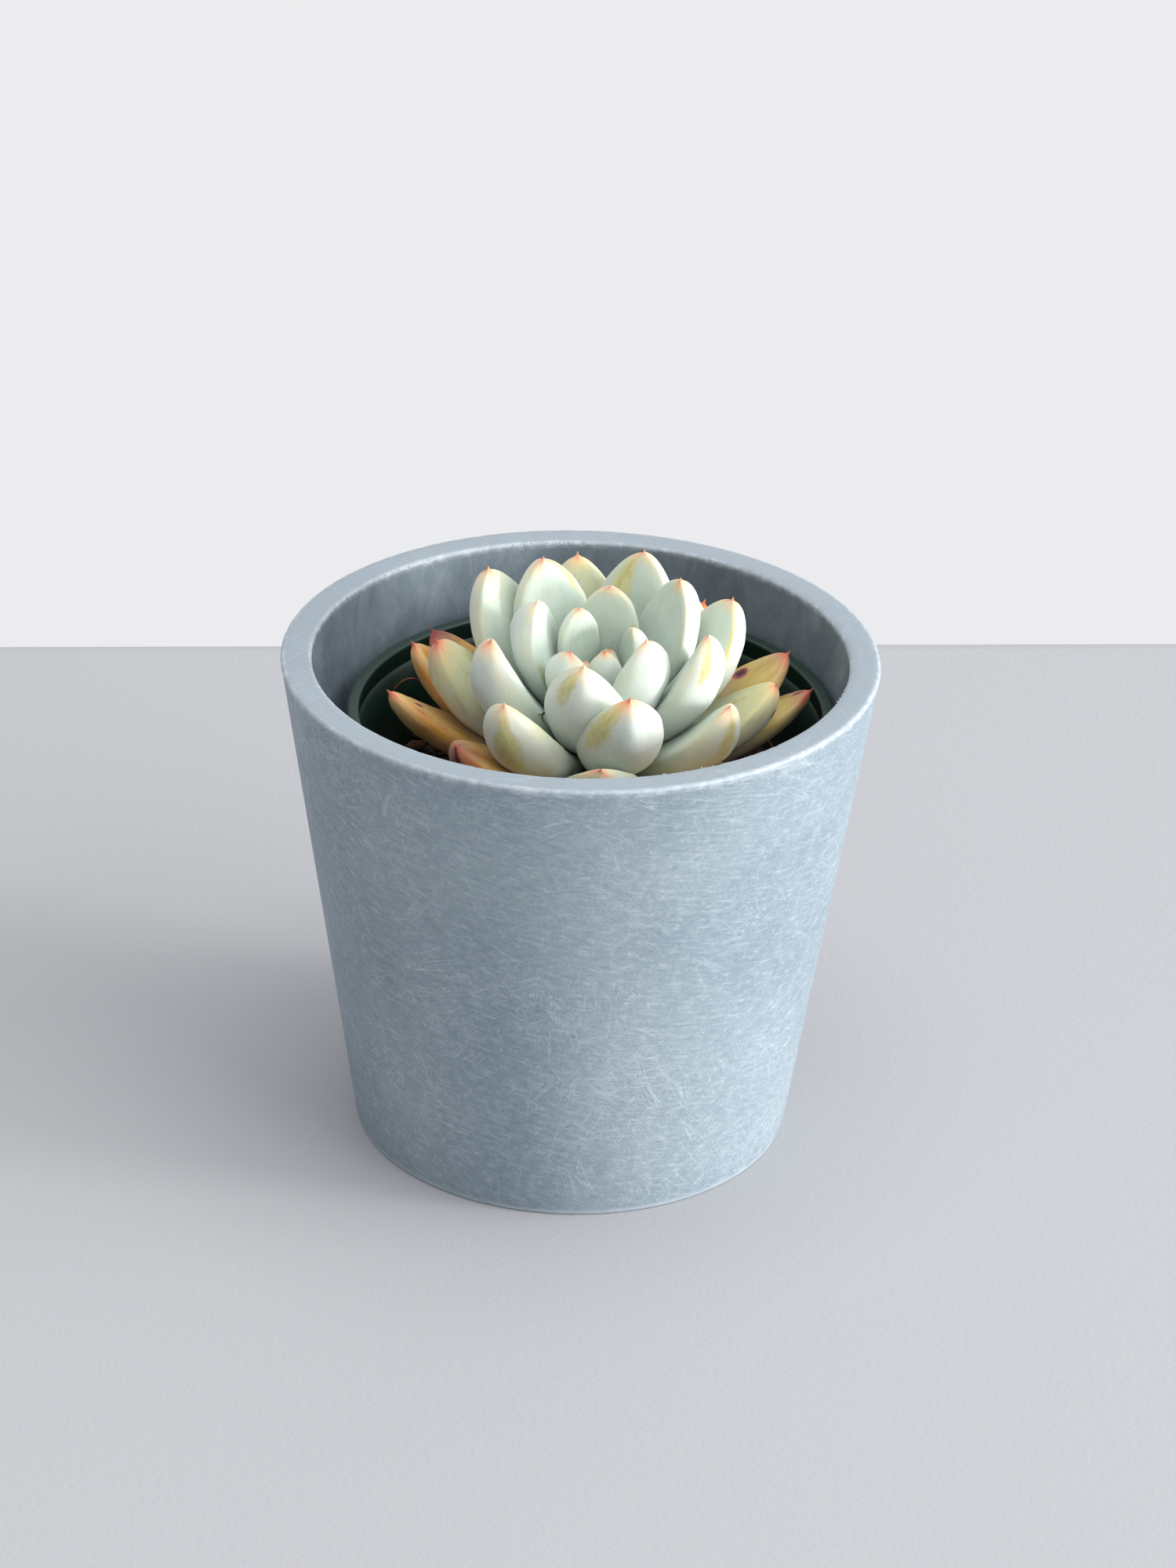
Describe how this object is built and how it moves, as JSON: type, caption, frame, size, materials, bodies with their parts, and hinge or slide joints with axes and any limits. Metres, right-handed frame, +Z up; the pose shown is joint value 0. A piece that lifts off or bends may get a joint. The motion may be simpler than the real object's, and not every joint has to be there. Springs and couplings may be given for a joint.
{
  "type": "potted succulent",
  "caption": "Fleshy-leaved rosette succulent growing in a plastic nursery pot that stands inside a tapered round stone-look cachepot.",
  "frame": {"origin": "centre of the cachepot's foot, on the surface it stands on", "axes": "+Z up out of the pot's mouth; -Y is the side that the rosette leans towards"},
  "size_m": [0.1098, 0.1098, 0.1103],
  "materials": {
    "cachepot": "matt blue-grey stone-look composite, finely scratched and mottled",
    "nursery_pot": "satin dark green thin-walled plastic",
    "potting_mix": "dark crumbly peat with bark and grit",
    "stem": "pale corky bark with leaf scars",
    "fresh_leaf": "powdery pale mint bloom over translucent flesh, with yellow and pink tips",
    "aged_leaf": "ochre and orange flesh with worn bloom, red tips and dark spots",
    "withered_leaf": "dry wrinkled brown skin"
  },
  "bodies": {
    "root": {"cachepot": "cachepot", "nursery_pot": "nursery_pot", "potting_mix": "potting_mix", "stem": "stem", "leaf_01": "fresh_leaf", "leaf_02": "fresh_leaf", "leaf_03": "fresh_leaf", "leaf_04": "fresh_leaf", "leaf_05": "fresh_leaf", "leaf_06": "fresh_leaf", "leaf_07": "fresh_leaf", "leaf_08": "fresh_leaf", "leaf_09": "fresh_leaf", "leaf_10": "fresh_leaf", "leaf_11": "fresh_leaf", "leaf_12": "fresh_leaf", "leaf_13": "fresh_leaf", "leaf_14": "fresh_leaf", "leaf_15": "fresh_leaf", "leaf_16": "fresh_leaf", "leaf_17": "fresh_leaf", "leaf_18": "fresh_leaf", "leaf_19": "fresh_leaf", "leaf_20": "fresh_leaf", "leaf_21": "fresh_leaf", "leaf_22": "fresh_leaf", "leaf_23": "fresh_leaf", "leaf_24": "fresh_leaf", "leaf_25": "aged_leaf", "leaf_26": "aged_leaf", "leaf_27": "aged_leaf", "leaf_28": "aged_leaf", "leaf_29": "aged_leaf", "leaf_30": "aged_leaf", "leaf_31": "aged_leaf", "leaf_32": "aged_leaf", "leaf_33": "aged_leaf", "leaf_34": "aged_leaf", "leaf_35": "aged_leaf", "leaf_36": "aged_leaf", "leaf_37": "aged_leaf", "leaf_38": "aged_leaf", "withered_leaf_1": "withered_leaf", "withered_leaf_2": "withered_leaf", "withered_leaf_3": "withered_leaf"}
  },
  "joints": []
}
